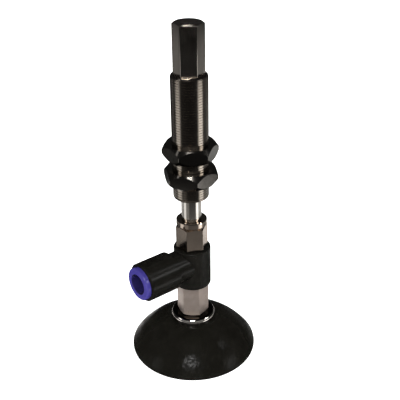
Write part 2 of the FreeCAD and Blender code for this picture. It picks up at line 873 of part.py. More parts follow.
doc.recompute()
for item in doc.Objects:
    if "Invalid" in item.State or "Error" in item.State:
        raise RuntimeError(f"{item.Label} failed: {item.State}")
for part in sub_parts:
    if part.Shape.isNull() or not part.Shape.isValid() or len(part.Shape.Solids) != 1:
        raise RuntimeError(f"{part.Label} is not one valid solid")

os.makedirs("parts", exist_ok=True)
for part in sub_parts:
    part.Shape.exportStep(f"parts/{part.Label}.step")
    print(f"{part.Label}: {part.Shape.Volume:.1f} mm3")
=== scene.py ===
"""Looks of a spring-buffered flat vacuum cup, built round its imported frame.

Row frame in metres: +Z runs up the axis from the cup's rim to the hex cap, and the tube port
points along -X.
"""

import logging
import math
from dataclasses import dataclass, field
from enum import Enum

import bmesh
import bpy
from mathutils import Matrix, Vector

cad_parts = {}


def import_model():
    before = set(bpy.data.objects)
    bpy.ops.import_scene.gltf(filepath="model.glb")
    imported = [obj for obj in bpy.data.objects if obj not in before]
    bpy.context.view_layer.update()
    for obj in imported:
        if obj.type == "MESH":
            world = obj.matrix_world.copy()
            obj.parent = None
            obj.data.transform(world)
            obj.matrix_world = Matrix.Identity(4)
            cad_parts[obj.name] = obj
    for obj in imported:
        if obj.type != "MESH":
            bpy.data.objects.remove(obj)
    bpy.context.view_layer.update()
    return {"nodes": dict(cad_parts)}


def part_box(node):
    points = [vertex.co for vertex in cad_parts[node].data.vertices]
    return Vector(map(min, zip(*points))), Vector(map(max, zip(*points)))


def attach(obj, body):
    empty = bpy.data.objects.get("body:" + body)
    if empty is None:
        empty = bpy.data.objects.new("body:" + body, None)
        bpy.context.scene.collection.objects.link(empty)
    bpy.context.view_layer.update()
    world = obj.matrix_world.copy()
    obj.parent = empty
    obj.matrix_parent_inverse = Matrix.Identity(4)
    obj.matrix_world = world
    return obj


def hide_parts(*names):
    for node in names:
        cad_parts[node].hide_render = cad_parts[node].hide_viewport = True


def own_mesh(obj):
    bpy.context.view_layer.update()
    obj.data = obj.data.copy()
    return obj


LOG = logging.getLogger("vacuum_cup")
MM = 0.001

Pair = tuple[float, float]
Point = Pair
Colour = tuple[float, float, float]
Levels = tuple[Pair, ...]
Socket = bpy.types.NodeSocket

SAME_CORNER = 1e-7
NO_EDGE = 1e-8

GREY = (1.0, 1.0, 1.0)
ROOM_TINT = (1.0, 0.97, 0.93)
SHEET_TINT = (1.0, 0.97, 0.94)


class Grain(Enum):
    """How the fine marks of a finish run."""

    TURNED = "rings round the axis"
    BRUSHED = "lines along the axis"
    CAST = "no direction"
    FLOWED = "streaks down the slope"


# Share of a height that counts for the marks, which draws them out upwards.
SQUEEZE = {Grain.BRUSHED: 0.04, Grain.FLOWED: 0.3}
# Noise from which a patch starts to look worn, and at which it is worn through.
WEAR = (0.42, 0.7)
# Noise at which a finish has its lowest and its highest roughness.
SPREAD = (0.3, 0.7)
# Share of the roughness that polishing takes away.
POLISH = 0.8


def tinted(levels: Levels, tint: Colour = GREY) -> list[tuple[float, Colour]]:
    """Stops of a ramp, from places with their brightness and a tint."""
    return [(place, tuple(level * part for part in tint)) for place, level in levels]


class Graph:
    """Adds nodes to a tree and links them.

    A mix node's colour sockets share their names with others, so they go by number.
    """

    MIX_FIRST, MIX_SECOND, MIX_RESULT = 6, 7, 2

    def __init__(self, tree: bpy.types.NodeTree) -> None:
        """Starts from an empty tree."""
        self.tree = tree
        tree.nodes.clear()

    def add(self, kind: str, **values: object) -> bpy.types.Node:
        """Adds a node.

        Args:
            kind: The node's type name.
            values: Settings of the node. Words with a capital first letter name input sockets,
                with underscores for spaces. A socket as value is linked.

        Returns:
            The new node.
        """
        node = self.tree.nodes.new(kind)
        for name, value in values.items():
            if name[0].islower():
                setattr(node, name, value)
            else:
                self.feed(node.inputs[name.replace("_", " ")], value)
        return node

    def feed(self, socket: Socket, value: object) -> None:
        """Links a socket to an input, or sets the input to a constant.

        Args:
            socket: The input socket.
            value: An output socket or a constant.
        """
        if isinstance(value, Socket):
            self.tree.links.new(value, socket)
        else:
            socket.default_value = value

    def maths(self, operation: str, first: object, second: object = 0.0) -> Socket:
        """One step of arithmetic.

        Args:
            operation: The maths node's operation.
            first: First operand.
            second: Second operand, where the operation has one.

        Returns:
            The result's socket.
        """
        node = self.add("ShaderNodeMath", operation=operation)
        self.feed(node.inputs[0], first)
        self.feed(node.inputs[1], second)
        return node.outputs[0]

    def ranged(
        self, value: Socket, start: float, end: float, low: float = 0.0, high: float = 1.0,
    ) -> Socket:
        """A number that goes evenly from one end of a range to the other and stays there.

        Args:
            value: What runs through the range.
            start: Where the range starts.
            end: Where the range ends, above or below its start.
            low: The number at the start.
            high: The number at the end.

        Returns:
            The number's socket.
        """
        node = self.add(
            "ShaderNodeMapRange",
            Value=value,
            From_Min=start,
            From_Max=end,
            To_Min=low,
            To_Max=high,
        )
        return node.outputs["Result"]

    def ramp(self, factor: Socket, stops: list[tuple[float, Colour]]) -> Socket:
        """A colour ramp.

        Args:
            factor: Position along the ramp, from 0 to 1.
            stops: Positions with their colours, in order.

        Returns:
            The ramp's colour socket.
        """
        node = self.add("ShaderNodeValToRGB", Fac=factor)
        elements = node.color_ramp.elements
        while len(elements) < len(stops):
            elements.new(0.5)
        for element, (position, colour) in zip(elements, stops):
            element.position = position
            element.color = (*colour, 1.0)
        return node.outputs["Color"]

    def mixed(self, factor: Socket, first: object, second: object) -> Socket:
        """A colour between two others.

        Args:
            factor: 0 for the first colour, 1 for the second.
            first: A socket, or a colour with its alpha.
            second: A socket, or a colour with its alpha.

        Returns:
            The mixed colour's socket.
        """
        node = self.add("ShaderNodeMix", data_type="RGBA", Factor=factor)
        self.feed(node.inputs[self.MIX_FIRST], first)
        self.feed(node.inputs[self.MIX_SECOND], second)
        return node.outputs[self.MIX_RESULT]

    def along(self, where: Socket, direction: Vector) -> Socket:
        """How far a place lies along a direction.

        Args:
            where: The coordinates' socket.
            direction: The direction, of length 1.

        Returns:
            The distance's socket.
        """
        node = self.add("ShaderNodeVectorMath", operation="DOT_PRODUCT")
        self.feed(node.inputs[0], where)
        self.feed(node.inputs[1], direction)
        return node.outputs["Value"]

    def from_axis(self, where: Socket) -> Socket:
        """Distance of a place from the upright axis."""
        x, y, _ = self.add("ShaderNodeSeparateXYZ", Vector=where).outputs
        return self.hypotenuse(x, y)

    def hypotenuse(self, x: Socket, y: Socket) -> Socket:
        """Length of the longest side of a right triangle, from its two short sides."""
        squares = self.maths("ADD", self.maths("MULTIPLY", x, x), self.maths("MULTIPLY", y, y))
        return self.maths("SQRT", squares)

    def noise(self, where: Socket, size: float, detail: float = 3.0) -> Socket:
        """Cloudy noise from 0 to 1, with clouds of a size in metres and finer octaves."""
        node = self.add("ShaderNodeTexNoise", Vector=where, Scale=1.0 / size, Detail=detail)
        return node.outputs["Fac"]


@dataclass(frozen=True)
class Finish:
    """What every finish has.

    Attributes:
        name: The material's name.
        colour: Main colour.
        worn: Colour in the patches that are handled, dusty or worn.
        patch: Size of those patches in metres.
        roughness: Lowest and highest roughness.
        grain: How the fine marks run.
        grain_size: Width of the fine marks in metres.
        relief: Depth of the fine marks in metres.
        metallic: 1 for bare or plated metal.
        specular: Strength of the plain mirror reflection of a part that isn't metal.
        polished_above: Height from which the surface is polished, where it has such a part.
        rim: Colour of a lighter rim, a painted sheen that stands in for the light the rounded edge
            catches, and the distance from the axis where it starts.
        bore: Painted shade: a darker colour inside a hole along X, where shade falls, with the
            hole's height and radius.
    """

    name: str
    colour: Colour
    worn: Colour
    patch: float
    roughness: Pair
    grain: Grain
    grain_size: float
    relief: float
    metallic: float = 0.0
    specular: float = 0.5
    polished_above: float | None = None
    rim: tuple[Colour, float] | None = None
    bore: tuple[Colour, float, float] | None = None

    def _stretched(self, graph: Graph, where: Socket) -> Socket:
        """Coordinates stretched along the grain.

        Args:
            graph: The material's graph.
            where: Coordinates in metres.

        Returns:
            The stretched coordinates' socket.
        """
        if self.grain is Grain.CAST:
            return where
        x, y, z = graph.add("ShaderNodeSeparateXYZ", Vector=where).outputs
        if self.grain is Grain.TURNED:
            joined = graph.add("ShaderNodeCombineXYZ", X=graph.from_axis(where), Y=0.0, Z=z)
        else:
            drawn = graph.maths("MULTIPLY", z, SQUEEZE[self.grain])
            joined = graph.add("ShaderNodeCombineXYZ", X=x, Y=y, Z=drawn)
        return joined.outputs[0]

    def _tone(self, graph: Graph, where: Socket, patches: Socket) -> Socket:
        """The colour with its worn patches, the painted sheen on its rim and the painted shade in
        its hole.

        Args:
            graph: The material's graph.
            where: Coordinates in metres.
            patches: The noise of the worn patches.

        Returns:
            The colour's socket.
        """
        start, through = WEAR
        tone = graph.ramp(patches, [(start, self.colour), (through, self.worn)])
        # Painted sheen: a lighter colour from a radius outward, so that the plate's edge shows a
        # bright band.
        if self.rim is not None:
            painted_rim_sheen, inner = self.rim
            outside = graph.maths("GREATER_THAN", graph.from_axis(where), inner)
            tone = graph.mixed(outside, tone, (*painted_rim_sheen, 1.0))
        # Painted shade: the wall of the hole along X is darkened, where shade falls inside it.
        if self.bore is not None:
            shaded, middle, radius = self.bore
            _, across, height = graph.add("ShaderNodeSeparateXYZ", Vector=where).outputs
            up = graph.maths("SUBTRACT", height, middle)
            inside = graph.maths("LESS_THAN", graph.hypotenuse(across, up), radius)
            tone = graph.mixed(inside, tone, (*shaded, 1.0))
        return tone

    def _dullness(self, graph: Graph, where: Socket, spread: Socket) -> Socket:
        """The roughness, less what is polished away.

        Args:
            graph: The material's graph.
            where: Coordinates in metres.
            spread: The noise that the roughness follows.

        Returns:
            The roughness's socket.
        """
        dullness = graph.ranged(spread, *SPREAD, *self.roughness)
        if self.polished_above is not None:
            height = graph.add("ShaderNodeSeparateXYZ", Vector=where).outputs["Z"]
            polished = graph.maths("GREATER_THAN", height, self.polished_above)
            kept = graph.maths("SUBTRACT", 1.0, graph.maths("MULTIPLY", polished, POLISH))
            dullness = graph.maths("MULTIPLY", dullness, kept)
        return dullness

    def material(self) -> bpy.types.Material:
        """Makes the material.

        Returns:
            The new material.
        """
        made = bpy.data.materials.new(self.name)
        made.use_nodes = True
        graph = Graph(made.node_tree)
        where = graph.add("ShaderNodeTexCoord").outputs["Object"]
        patches = graph.noise(where, self.patch)
        marks = graph.noise(self._stretched(graph, where), self.grain_size, detail=2.0)
        spread = graph.maths("MULTIPLY", graph.maths("ADD", patches, marks), 0.5)
        bump = graph.add("ShaderNodeBump", Height=marks, Distance=self.relief, Strength=1.0)
        shader = graph.add(
            "ShaderNodeBsdfPrincipled",
            Base_Color=self._tone(graph, where, patches),
            Roughness=self._dullness(graph, where, spread),
            Normal=bump.outputs["Normal"],
            Metallic=self.metallic,
            Specular_IOR_Level=self.specular,
        )
        graph.add("ShaderNodeOutputMaterial", Surface=shader.outputs["BSDF"])
        return made


DARK_NICKEL = Finish(
    name="dark_nickel_plate",
    colour=(0.3, 0.265, 0.225), worn=(0.34, 0.3, 0.255), patch=6 * MM, roughness=(0.12, 0.2),
    grain=Grain.CAST, grain_size=0.5 * MM, relief=0.002 * MM, metallic=1.0,
)
DARK_CAP = Finish(
    name="dark_plated_cap",
    colour=(0.52, 0.47, 0.415), worn=(0.56, 0.51, 0.45), patch=5 * MM, roughness=(0.14, 0.22),
    grain=Grain.BRUSHED, grain_size=0.25 * MM, relief=0.0008 * MM, metallic=1.0,
)
BLACK_OXIDE = Finish(
    name="black_oxide_steel",
    colour=(0.21, 0.195, 0.175), worn=(0.24, 0.222, 0.2), patch=4 * MM, roughness=(0.08, 0.13),
    grain=Grain.CAST, grain_size=0.6 * MM, relief=0.0006 * MM, metallic=1.0,
)
STEM_NICKEL = Finish(
    name="turned_nickel_plate",
    colour=(0.5, 0.42, 0.35), worn=(0.44, 0.37, 0.31), patch=5 * MM, roughness=(0.14, 0.22),
    grain=Grain.BRUSHED, grain_size=0.3 * MM, relief=0.0006 * MM, metallic=1.0,
    polished_above=58.9 * MM,
)
BLACK_PLATE = Finish(
    name="black_polished_plate",
    colour=(0.022, 0.019, 0.016), worn=(0.03, 0.027, 0.023), patch=4 * MM, roughness=(0.06, 0.1),
    grain=Grain.TURNED, grain_size=0.3 * MM, relief=0.0003 * MM, metallic=1.0,
    # Painted sheen: the rim is lighter than the black top, for the bright band at the plate's
    # edge.
    rim=((0.6, 0.57, 0.53), 8.5 * MM),
)
SATIN_NICKEL = Finish(
    name="satin_nickel_plate",
    colour=(0.36, 0.3, 0.265), worn=(0.31, 0.26, 0.23), patch=4 * MM, roughness=(0.26, 0.36),
    grain=Grain.BRUSHED, grain_size=0.2 * MM, relief=0.002 * MM, metallic=0.78, specular=0.3,
)
BRIGHT_ROD = Finish(
    name="bright_ground_rod",
    colour=(0.62, 0.59, 0.54), worn=(0.54, 0.51, 0.46), patch=5 * MM, roughness=(0.12, 0.18),
    grain=Grain.TURNED, grain_size=0.2 * MM, relief=0.0008 * MM, metallic=1.0,
)
BLACK_PLASTIC = Finish(
    name="black_moulded_plastic",
    colour=(0.0042, 0.004, 0.0032), worn=(0.0056, 0.0053, 0.0043), patch=5 * MM,
    roughness=(0.2, 0.28), grain=Grain.CAST, grain_size=0.6 * MM, relief=0.004 * MM,
    specular=0.09,
)
BLUE_PLASTIC = Finish(
    name="blue_moulded_plastic",
    colour=(0.027, 0.022, 0.135), worn=(0.034, 0.028, 0.16), patch=4 * MM, roughness=(0.14, 0.22),
    grain=Grain.CAST, grain_size=0.5 * MM, relief=0.004 * MM, specular=0.4,
    # Painted shade: the port's hole is darker inside than the ring.
    bore=((0.0105, 0.0085, 0.045), 40.9 * MM, 4.3 * MM),
)
CUP_RUBBER = Finish(
    name="black_cup_rubber",
    colour=(0.0042, 0.004, 0.0031), worn=(0.0056, 0.0053, 0.0042), patch=7 * MM,
    roughness=(0.16, 0.22), grain=Grain.FLOWED, grain_size=2.6 * MM, relief=0.22 * MM,
    specular=0.032,
)
SEAL_RUBBER = Finish(
    name="black_seal_rubber",
    colour=(0.014, 0.014, 0.014), worn=(0.02, 0.02, 0.02), patch=3 * MM, roughness=(0.4, 0.55),
    grain=Grain.CAST, grain_size=0.3 * MM, relief=0.01 * MM, specular=0.3,
)
BRASS = Finish(
    name="machined_brass",
    colour=(0.66, 0.45, 0.17), worn=(0.52, 0.34, 0.13), patch=3 * MM, roughness=(0.2, 0.34),
    grain=Grain.TURNED, grain_size=0.2 * MM, relief=0.004 * MM, metallic=1.0,
)
ZINC_STEEL = Finish(
    name="zinc_plated_steel",
    colour=(0.58, 0.58, 0.6), worn=(0.48, 0.48, 0.51), patch=3 * MM, roughness=(0.25, 0.4),
    grain=Grain.TURNED, grain_size=0.25 * MM, relief=0.004 * MM, metallic=1.0,
)
SPRING_STEEL = Finish(
    name="drawn_spring_steel",
    colour=(0.4, 0.4, 0.41), worn=(0.32, 0.31, 0.31), patch=2 * MM, roughness=(0.25, 0.38),
    grain=Grain.CAST, grain_size=0.2 * MM, relief=0.004 * MM, metallic=1.0,
)


class Palette:
    """Makes each finish once and puts it on pieces."""

    def __init__(self) -> None:
        """Starts with no materials."""
        self.made: dict[str, bpy.types.Material] = {}

    def dress(self, piece: bpy.types.Object, finish: Finish, slot: str) -> None:
        """Gives a piece its finish.

        Args:
            piece: The object to dress.
            finish: Its finish.
            slot: Name of the record's material slot; not used.
        """
        if finish.name not in self.made:
            self.made[finish.name] = finish.material()
        piece.data.materials.clear()
        piece.data.materials.append(self.made[finish.name])


def smooth(mesh: bpy.types.Mesh, angle: float = 30.0) -> None:
    """Shades a mesh smoothly, with its edges sharp above an angle in degrees."""
    mesh.shade_smooth()
    mesh.set_sharp_from_angle(angle=math.radians(angle))


def new_piece(name: str, mesh: bmesh.types.BMesh) -> bpy.types.Object:
    """Makes an object from a finished bmesh.

    Args:
        name: The object's name.
        mesh: The bmesh, which is freed.

    Returns:
        The new object, linked to the scene.
    """
    bmesh.ops.remove_doubles(mesh, verts=mesh.verts, dist=SAME_CORNER)
    bmesh.ops.dissolve_degenerate(mesh, edges=mesh.edges, dist=NO_EDGE)
    bmesh.ops.recalc_face_normals(mesh, faces=mesh.faces)
    data = bpy.data.meshes.new(name)
    mesh.to_mesh(data)
    mesh.free()
    smooth(data)
    piece = bpy.data.objects.new(name, data)
    bpy.context.collection.objects.link(piece)
    return piece


def at_angle(radius: float, angle: float, height: float) -> Vector:
    """A place by its distance from the axis, its angle round it and its height."""
    return Vector((radius * math.cos(angle), radius * math.sin(angle), height))


def lathe(mesh: bmesh.types.BMesh, outline: list[Point], segments: int, closed: bool) -> None:
    """Turns an outline about the axis.

    Args:
        mesh: The bmesh that gets the faces.
        outline: Corners as (radius, height) in metres.
        segments: Number of segments round the axis.
        closed: Whether the last corner joins the first.
    """
    rings = []
    for radius, height in outline:
        ring = []
        for i in range(segments):
            ring.append(mesh.verts.new(at_angle(radius, math.tau * i / segments, height)))
        rings.append(ring)
    pairs = zip(rings, rings[1:] + rings[:1]) if closed else zip(rings, rings[1:])
    for lower, upper in pairs:
        for i in range(segments):
            j = (i + 1) % segments
            mesh.faces.new((lower[i], lower[j], upper[j], upper[i]))


def arc(centre: Point, radius: float, start: float, end: float, steps: int) -> list[Point]:
    """Points on a circular arc of an outline.

    Args:
        centre: The arc's centre as (radius, height).
        radius: The arc's own radius.
        start: Start angle in degrees, from the outward direction up.
        end: End angle in degrees.
        steps: Number of chords.

    Returns:
        The points, both ends included.
    """
    points = []
    for i in range(steps + 1):
        angle = math.radians(start + (end - start) * i / steps)
        points.append((centre[0] + radius * math.cos(angle), centre[1] + radius * math.sin(angle)))
    return points


def bowed(start: Point, end: Point, radius: float, steps: int) -> list[Point]:
    """Points on an arc that bulges to the right of the way from start to end.

    Args:
        start: First end as (radius, height).
        end: Last end.
        radius: The arc's own radius, negative for a bulge to the left.
        steps: Number of chords.

    Returns:
        The points, both ends included.
    """
    first, last = Vector(start), Vector(end)
    along = last - first
    half = along.length / 2
    along.normalize()
    right = Vector((along.y, -along.x)) * math.copysign(1.0, radius)
    reach = abs(radius)
    sweep = math.asin(half / reach)
    centre = (first + last) / 2 - right * reach * math.cos(sweep)
    points = []
    for i in range(steps + 1):
        angle = sweep * (2 * i / steps - 1)
        point = centre + along * reach * math.sin(angle) + right * reach * math.cos(angle)
        points.append((point.x, point.y))
    return points


@dataclass
class SuctionCup:
    """The rubber cup.

    Attributes:
        palette: Where its finish comes from.
        edge: Height of the rim's outer edge.
        edge_round: Radius that breaks the rim's edge.
        edge_turn: How far the edge's upper round turns in, in degrees.
        tuck: How far the flank starts inside the rim, as a share of the edge's round.
        lip: Width of the flat that the rim rests on.
        neck: Radius of the cup's top.
        neck_round: Radius that breaks the top's edge.
        neck_slope: Angle at which the flank meets the top's round, in degrees.
        bow: Radius of the domed flank, outside and inside.
        hub: Radius of the flat under the hub.
        hole: Radius of the screw hole.
        segments: Segments round the cup.
        bow_steps: Chords along the flank.
        foot_steps: Chords of the edge's lower round and of the top's round.
        edge_steps: Chords of the edge's upper round.
    """

    palette: Palette
    edge: float = 1.5 * MM
    edge_round: float = 0.5 * MM
    edge_turn: float = 45.0
    tuck: float = 0.3
    lip: float = 0.8 * MM
    neck: float = 10.3 * MM
    neck_round: float = 0.3 * MM
    neck_slope: float = 20.0
    bow: float = 36.5 * MM
    hub: float = 9.0 * MM
    hole: float = 4.05 * MM
    segments: int = 192
    bow_steps: int = 28
    foot_steps: int = 5
    edge_steps: int = 4

    def _outline(self) -> list[Point]:
        """Half of the cup's section, from the lip round the outside and back inside.

        Returns:
            Its corners as (radius, height).
        """
        low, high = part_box("suction_cup")
        under_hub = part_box("clamp_washer")[1].z
        rim, foot, top = high.x, low.z, high.z
        broken, eased = self.edge_round, self.neck_round
        inner = (rim - self.lip, foot)
        flank_foot = (rim - self.tuck * broken, foot + self.edge)
        upper = (rim - broken, foot + self.edge - broken)
        outline = [inner]
        outline += arc((rim - broken, foot + broken), broken, -90, 0, self.foot_steps)
        outline += arc(upper, broken, 0, self.edge_turn, self.edge_steps)
        outline += bowed(flank_foot, (self.neck, top - eased), self.bow, self.bow_steps)
        outline += arc(
            (self.neck - eased, top - eased), eased, self.neck_slope, 90, self.foot_steps,
        )
        outline += [(self.hole, top), (self.hole, under_hub)]
        outline += bowed((self.hub, under_hub), inner, -self.bow, self.bow_steps)[:-1]
        return outline

    def rubber(self) -> bpy.types.Object:
        """Builds the moulded cup with its domed flank and rounded rim.

        Returns:
            The cup.
        """
        mesh = bmesh.new()
        lathe(mesh, self._outline(), self.segments, closed=True)
        cup = new_piece("cup_rubber", mesh)
        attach(cup, "plunger")
        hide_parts("suction_cup")
        self.palette.dress(cup, CUP_RUBBER, "cup_rubber")
        return cup


@dataclass
class BufferBarrel:
    """The threaded barrel.

    Attributes:
        palette: Where its finish comes from.
        pitch: Pitch of the thread.
        depth: Depth of the thread.
        profile: Corners of the thread, as shares of the pitch and of the depth.
        round_end: Radius that rounds the barrel's ends.
        mouth: Radius of the hole that the rod comes out of.
        segments: Segments round the barrel.
    """

    palette: Palette
    pitch: float = 1.0 * MM
    depth: float = 0.2 * MM
    profile: Levels = ((0.0, 1.0), (0.58, 1.0), (0.7, 0.0), (0.88, 0.0))
    round_end: float = 0.9 * MM
    mouth: float = 4.3 * MM
    segments: int = 96

    def _limit(self, height: float, low: Vector, high: Vector) -> float:
        """Greatest radius at a height, where the ends are rounded.

        Args:
            height: The height asked for.
            low: Lowest corner of the barrel's box.
            high: Its highest corner.

        Returns:
            The radius.
        """
        inside = min(height - low.z, high.z - height, self.round_end)
        missing = self.round_end - max(inside, 0.0)
        return high.x - self.round_end + math.sqrt(max(self.round_end**2 - missing**2, 0.0))

    def _cut_thread(self, mesh: bmesh.types.BMesh, low: Vector, high: Vector) -> None:
        """Makes the outside as one long helix that runs out at the barrel's ends.

        Args:
            mesh: The bmesh that gets the faces.
            low: Lowest corner of the barrel's box.
            high: Its highest corner.
        """
        rows = []
        for turn in range(int((high.z - low.z) / self.pitch) + 2):
            for share, crest in self.profile:
                row = []
                for i in range(self.segments + 1):
                    rise = (turn - 1 + share + i / self.segments) * self.pitch
                    height = min(max(low.z + rise, low.z), high.z)
                    radius = high.x - self.depth * (1.0 - crest)
                    radius = min(radius, self._limit(height, low, high))
                    corner = at_angle(radius, math.tau * i / self.segments, height)
                    row.append(mesh.verts.new(corner))
                rows.append(row)
        for lower, upper in zip(rows, rows[1:]):
            for i in range(self.segments):
                mesh.faces.new((lower[i], lower[i + 1], upper[i + 1], upper[i]))

    def threaded(self) -> bpy.types.Object:
        """Builds the barrel with its thread and its stepped bore.

        Returns:
            The barrel.
        """
        low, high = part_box("buffer_barrel")
        bush_low, bush_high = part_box("guide_bush")
        foot, top, lip_top, bore = low.z, high.z, bush_low.z, bush_high.x
        shoulder = high.x - self.round_end
        mesh = bmesh.new()
        self._cut_thread(mesh, low, high)
        inside = [
            (shoulder, foot), (self.mouth, foot), (self.mouth, lip_top),
            (bore, lip_top), (bore, top), (shoulder, top),
        ]
        lathe(mesh, inside, self.segments, closed=False)
        barrel = new_piece("threaded_barrel", mesh)
        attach(barrel, "barrel")
        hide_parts("buffer_barrel")
        self.palette.dress(barrel, DARK_NICKEL, "dark_nickel")
        return barrel


@dataclass
class BufferSpring:
    """The coil in the barrel that the rod is pushed up against.

    Attributes:
        palette: Where its finish comes from.
        wire: Diameter of the wire.
        turns: Number of turns.
        travel: How far the buffer squeezes the coil; not used.
        steps: Lengths of wire a turn.
        sides: Sides of the wire.
    """

    palette: Palette
    wire: float = 1.0 * MM
    turns: float = 9.0
    travel: float = 9.0 * MM
    steps: int = 48
    sides: int = 14

    def _wind(self, mesh: bmesh.types.BMesh, low: Vector, high: Vector) -> None:
        """Winds the wire, with its ends ground flat.

        Args:
            mesh: The bmesh that gets the faces.
            low: Lowest corner of the coil's box.
            high: Its highest corner.
        """
        half = self.wire / 2
        middle = high.x - half
        count = int(self.turns * self.steps)
        rings = []
        for i in range(count + 1):
            turn = math.tau * i / self.steps
            height = low.z + (high.z - low.z) * i / count
            ring = []
            for k in range(self.sides):
                angle = math.tau * k / self.sides
                radius = middle + half * math.cos(angle)
                level = min(max(height + half * math.sin(angle), low.z), high.z)
                ring.append(mesh.verts.new(at_angle(radius, turn, level)))
            rings.append(ring)
        for lower, upper in zip(rings, rings[1:]):
            for k in range(self.sides):
                n = (k + 1) % self.sides
                mesh.faces.new((lower[k], lower[n], upper[n], upper[k]))
        mesh.faces.new(rings[0])
        mesh.faces.new(rings[-1])

    def coil(self) -> bpy.types.Object:
        """Builds the coil.

        Returns:
            The coil.
        """
        low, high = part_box("compression_spring")
        mesh = bmesh.new()
        self._wind(mesh, low, high)
        coil = new_piece("buffer_coil", mesh)
        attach(coil, "barrel")
        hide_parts("compression_spring")
        self.palette.dress(coil, SPRING_STEEL, "spring_steel")
        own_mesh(coil)
        return coil


@dataclass
class TurnedPieces:
    """The pieces whose CAD meshes carry their own shape and only need a finish.

    Attributes:
        palette: Where their finishes come from.
        nodes: The frame's nodes by name.
        smooth_below: Angle in degrees up to which an edge is shaded smoothly.
        broken: Width of the broken edges, for the nodes that have them.
        joined: Distance below which split corners are joined again.
        flat_below: Angle in degrees up to which neighbouring faces are one flat.
        edge_above: Angle in degrees from which an edge is broken.
        edge_steps: Chords of a broken edge.
        finishes: Finish of each node, with the record's slot.
    """

    palette: Palette
    nodes: dict[str, bpy.types.Object]
    smooth_below: float = 25.0
    broken: dict[str, float] = field(default_factory=lambda: {
        "hex_cap": 0.1 * MM, "hex_adapter": 0.15 * MM,
    })
    joined: float = 0.001 * MM
    flat_below: float = 0.5
    edge_above: float = 18.0
    edge_steps: int = 4
    finishes: dict[str, tuple[Finish, str]] = field(default_factory=lambda: {
        "hex_cap": (DARK_CAP, "dark_nickel"),
        "upper_nut": (BLACK_OXIDE, "black_oxide"),
        "lower_nut": (BLACK_OXIDE, "black_oxide"),
        "plunger_rod": (BRIGHT_ROD, "bright_rod"),
        "swivel_stem": (STEM_NICKEL, "polished_nickel"),
        "hex_adapter": (SATIN_NICKEL, "satin_nickel"),
        "cup_plate": (BLACK_PLATE, "black_oxide"),
        "port_body": (BLACK_PLASTIC, "black_plastic"),
        "seal_spacer": (BLACK_PLASTIC, "black_plastic"),
        "release_ring": (BLUE_PLASTIC, "blue_plastic"),
        "plate_seal": (SEAL_RUBBER, "seal_rubber"),
        "upper_o_ring": (SEAL_RUBBER, "seal_rubber"),
        "lower_o_ring": (SEAL_RUBBER, "seal_rubber"),
        "tube_seal": (SEAL_RUBBER, "seal_rubber"),
        "stop_washer": (SEAL_RUBBER, "seal_rubber"),
        "guide_bush": (BRASS, "bare_brass"),
        "cup_screw": (BRASS, "bare_brass"),
        "collet_sleeve": (BRASS, "bare_brass"),
        "clamp_washer": (ZINC_STEEL, "zinc_steel"),
        "spring_seat": (ZINC_STEEL, "zinc_steel"),
        "gripping_claw": (SPRING_STEEL, "spring_steel"),
    })

    def _break_edges(self, node: bpy.types.Object, width: float) -> None:
        """Rounds the sharp edges of a node by modifiers, so that they catch the light.

        Args:
            node: The node.
            width: Width of the rounded edge.
        """
        weld = node.modifiers.new("joined_edges", "WELD")
        weld.merge_threshold = self.joined
        flat = node.modifiers.new("joined_flats", "DECIMATE")
        flat.decimate_type = "DISSOLVE"
        flat.angle_limit = math.radians(self.flat_below)
        edge = node.modifiers.new("broken_edges", "BEVEL")
        edge.limit_method = "ANGLE"
        edge.angle_limit = math.radians(self.edge_above)
        edge.width = width
        edge.segments = self.edge_steps
        edge.use_clamp_overlap = False
        edge.harden_normals = True

    def dress(self) -> None:
        """Shades and dresses every listed node."""
        for name, (finish, slot) in self.finishes.items():
            node = self.nodes[name]
            smooth(node.data, self.smooth_below)
            if name in self.broken:
                self._break_edges(node, self.broken[name])
            self.palette.dress(node, finish, slot)
            LOG.info("%s: %s", name, finish.name)


@dataclass
class StudioCamera:
    """The camera at the photograph's place.

    Attributes:
        bearing: Where it stands, in degrees round the axis from +X.
        focal: Focal length in image widths.
        sensor: Width of its sensor in millimetres.
        nearest: Distance from which it sees things.
        away: Its distance from the axis, along the floor.
        height: Its height.
        pitch: How far it looks down, in degrees.
        yaw: How far it looks past the axis, in degrees.
        roll: Its roll in degrees.
    """

    bearing: float
    focal: float = 718.6 / 400.0
    sensor: float = 36.0
    nearest: float = 10.0 * MM
    away: float = 248.1 * MM
    height: float = 200.1 * MM
    pitch: float = 27.898
    yaw: float = 0.788
    roll: float = 0.654

    def _axes(self) -> Matrix:
        """The way the camera is turned.

        Returns:
            A matrix with the camera's own axes as columns.
        """
        look = math.radians(self.bearing) + math.pi - math.radians(self.yaw)
        pitch, roll = math.radians(self.pitch), math.radians(self.roll)
        forward = at_angle(math.cos(pitch), look, -math.sin(pitch))
        right = forward.cross(Vector((0, 0, 1))).normalized()
        down = forward.cross(right)
        across = right * math.cos(roll) + down * math.sin(roll)
        below = down * math.cos(roll) - right * math.sin(roll)
        return Matrix((across, -below, -forward)).transposed().to_4x4()

    def place(self) -> bpy.types.Object:
        """Makes the camera and gives it to the scene.

        Returns:
            The camera.
        """
        data = bpy.data.cameras.new("camera")
        data.sensor_width = self.sensor
        data.lens = self.focal * data.sensor_width
        data.clip_start = self.nearest
        camera = bpy.data.objects.new("camera", data)
        bpy.context.collection.objects.link(camera)
        stand = at_angle(self.away, math.radians(self.bearing), self.height)
        camera.matrix_world = Matrix.Translation(stand) @ self._axes()
        bpy.context.scene.camera = camera
        return camera


